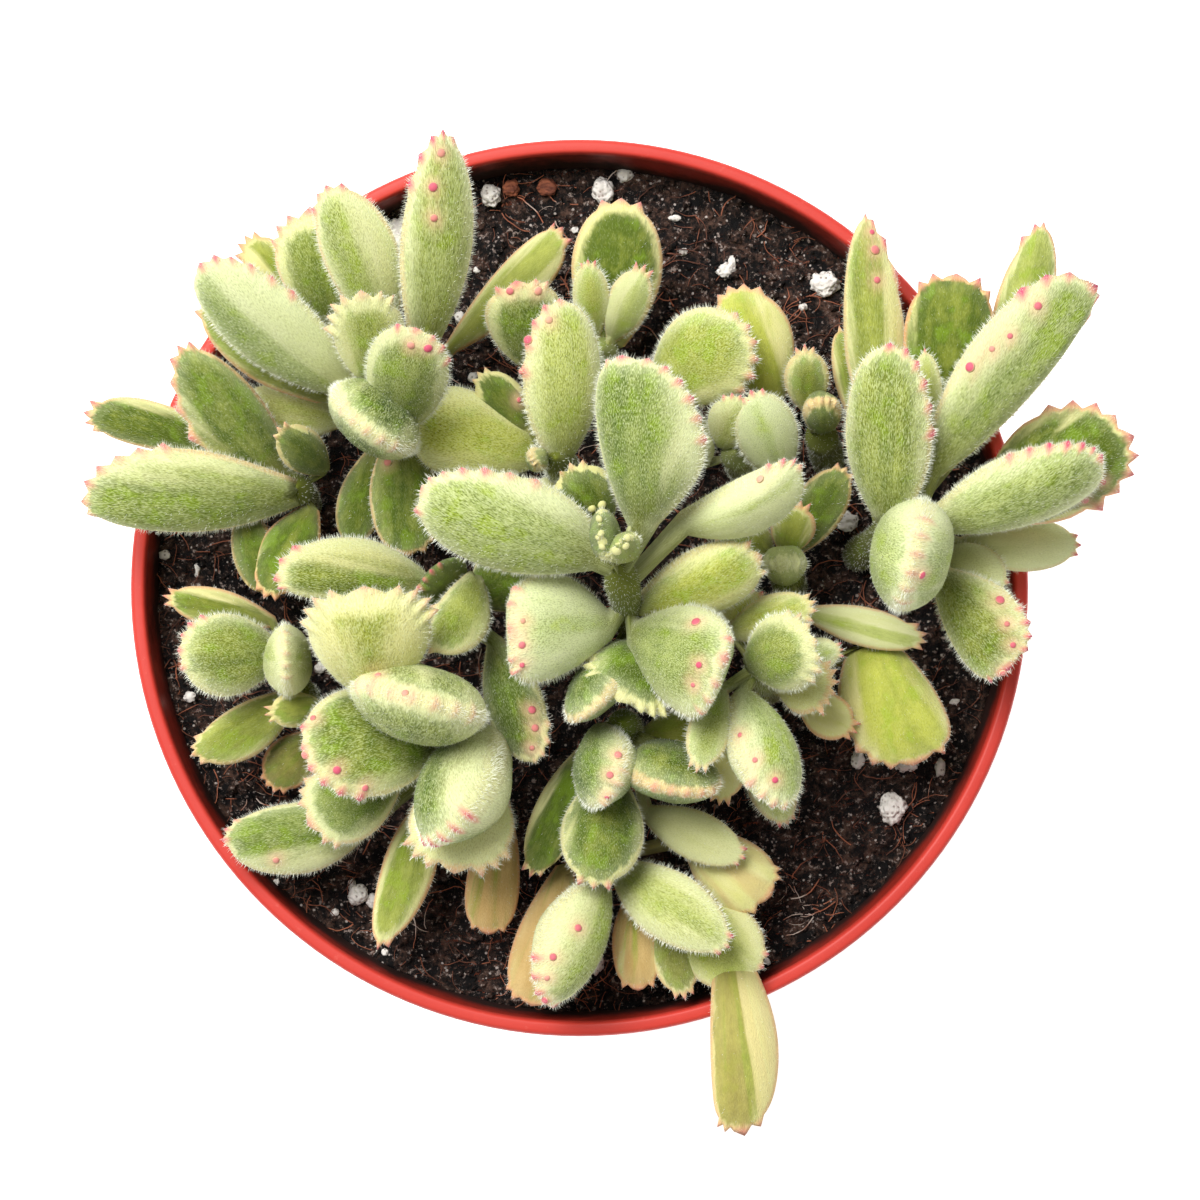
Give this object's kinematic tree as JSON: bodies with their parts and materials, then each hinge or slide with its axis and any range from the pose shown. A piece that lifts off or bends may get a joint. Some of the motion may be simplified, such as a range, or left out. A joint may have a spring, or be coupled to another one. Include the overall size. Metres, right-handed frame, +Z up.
{
  "type": "potted variegated bears paw succulent",
  "caption": "Bushy succulent with plump, furry, toothed leaves, green with cream edges and pink tips, in a round red nursery pot filled with dark soil.",
  "frame": {"origin": "centre of the pot's underside, on the surface that the pot stands on", "axes": "+Z up along the pot's axis, +Y towards the top of the picture, +X towards its right"},
  "size_m": [0.1307, 0.1256, 0.1368],
  "materials": {
    "red_plastic": "smooth moulded coral red plastic",
    "peat": "crumbly black peat with brown fibres",
    "leaf": "furry leaf, green with cream margins and pink teeth",
    "perlite": "porous white",
    "bark": "rough orange brown"
  },
  "bodies": {
    "root": {"pot": "red_plastic", "soil": "peat", "leafy_stem_northwest": "leaf", "leafy_stem_west": "leaf", "leafy_stem_middle_west": "leaf", "leafy_stem_southwest_inner": "leaf", "leafy_stem_southwest": "leaf", "leafy_stem_centre": "leaf", "leafy_stem_middle_north": "leaf", "leafy_stem_north": "leaf", "leafy_stem_northeast_inner": "leaf", "leafy_stem_east_small": "leaf", "leafy_stem_middle_east": "leaf", "leafy_stem_northeast": "leaf", "leafy_stem_southeast": "leaf", "leafy_stem_south_inner": "leaf", "leafy_stem_south": "leaf", "perlite_grain_1": "perlite", "perlite_grain_2": "perlite", "perlite_grain_3": "perlite", "perlite_grain_4": "perlite", "perlite_grain_5": "perlite", "perlite_grain_6": "perlite", "perlite_grain_7": "perlite", "perlite_grain_8": "perlite", "perlite_grain_9": "perlite", "perlite_grain_10": "perlite", "bark_chip_1": "bark", "bark_chip_2": "bark", "bark_chip_3": "bark"}
  },
  "joints": []
}
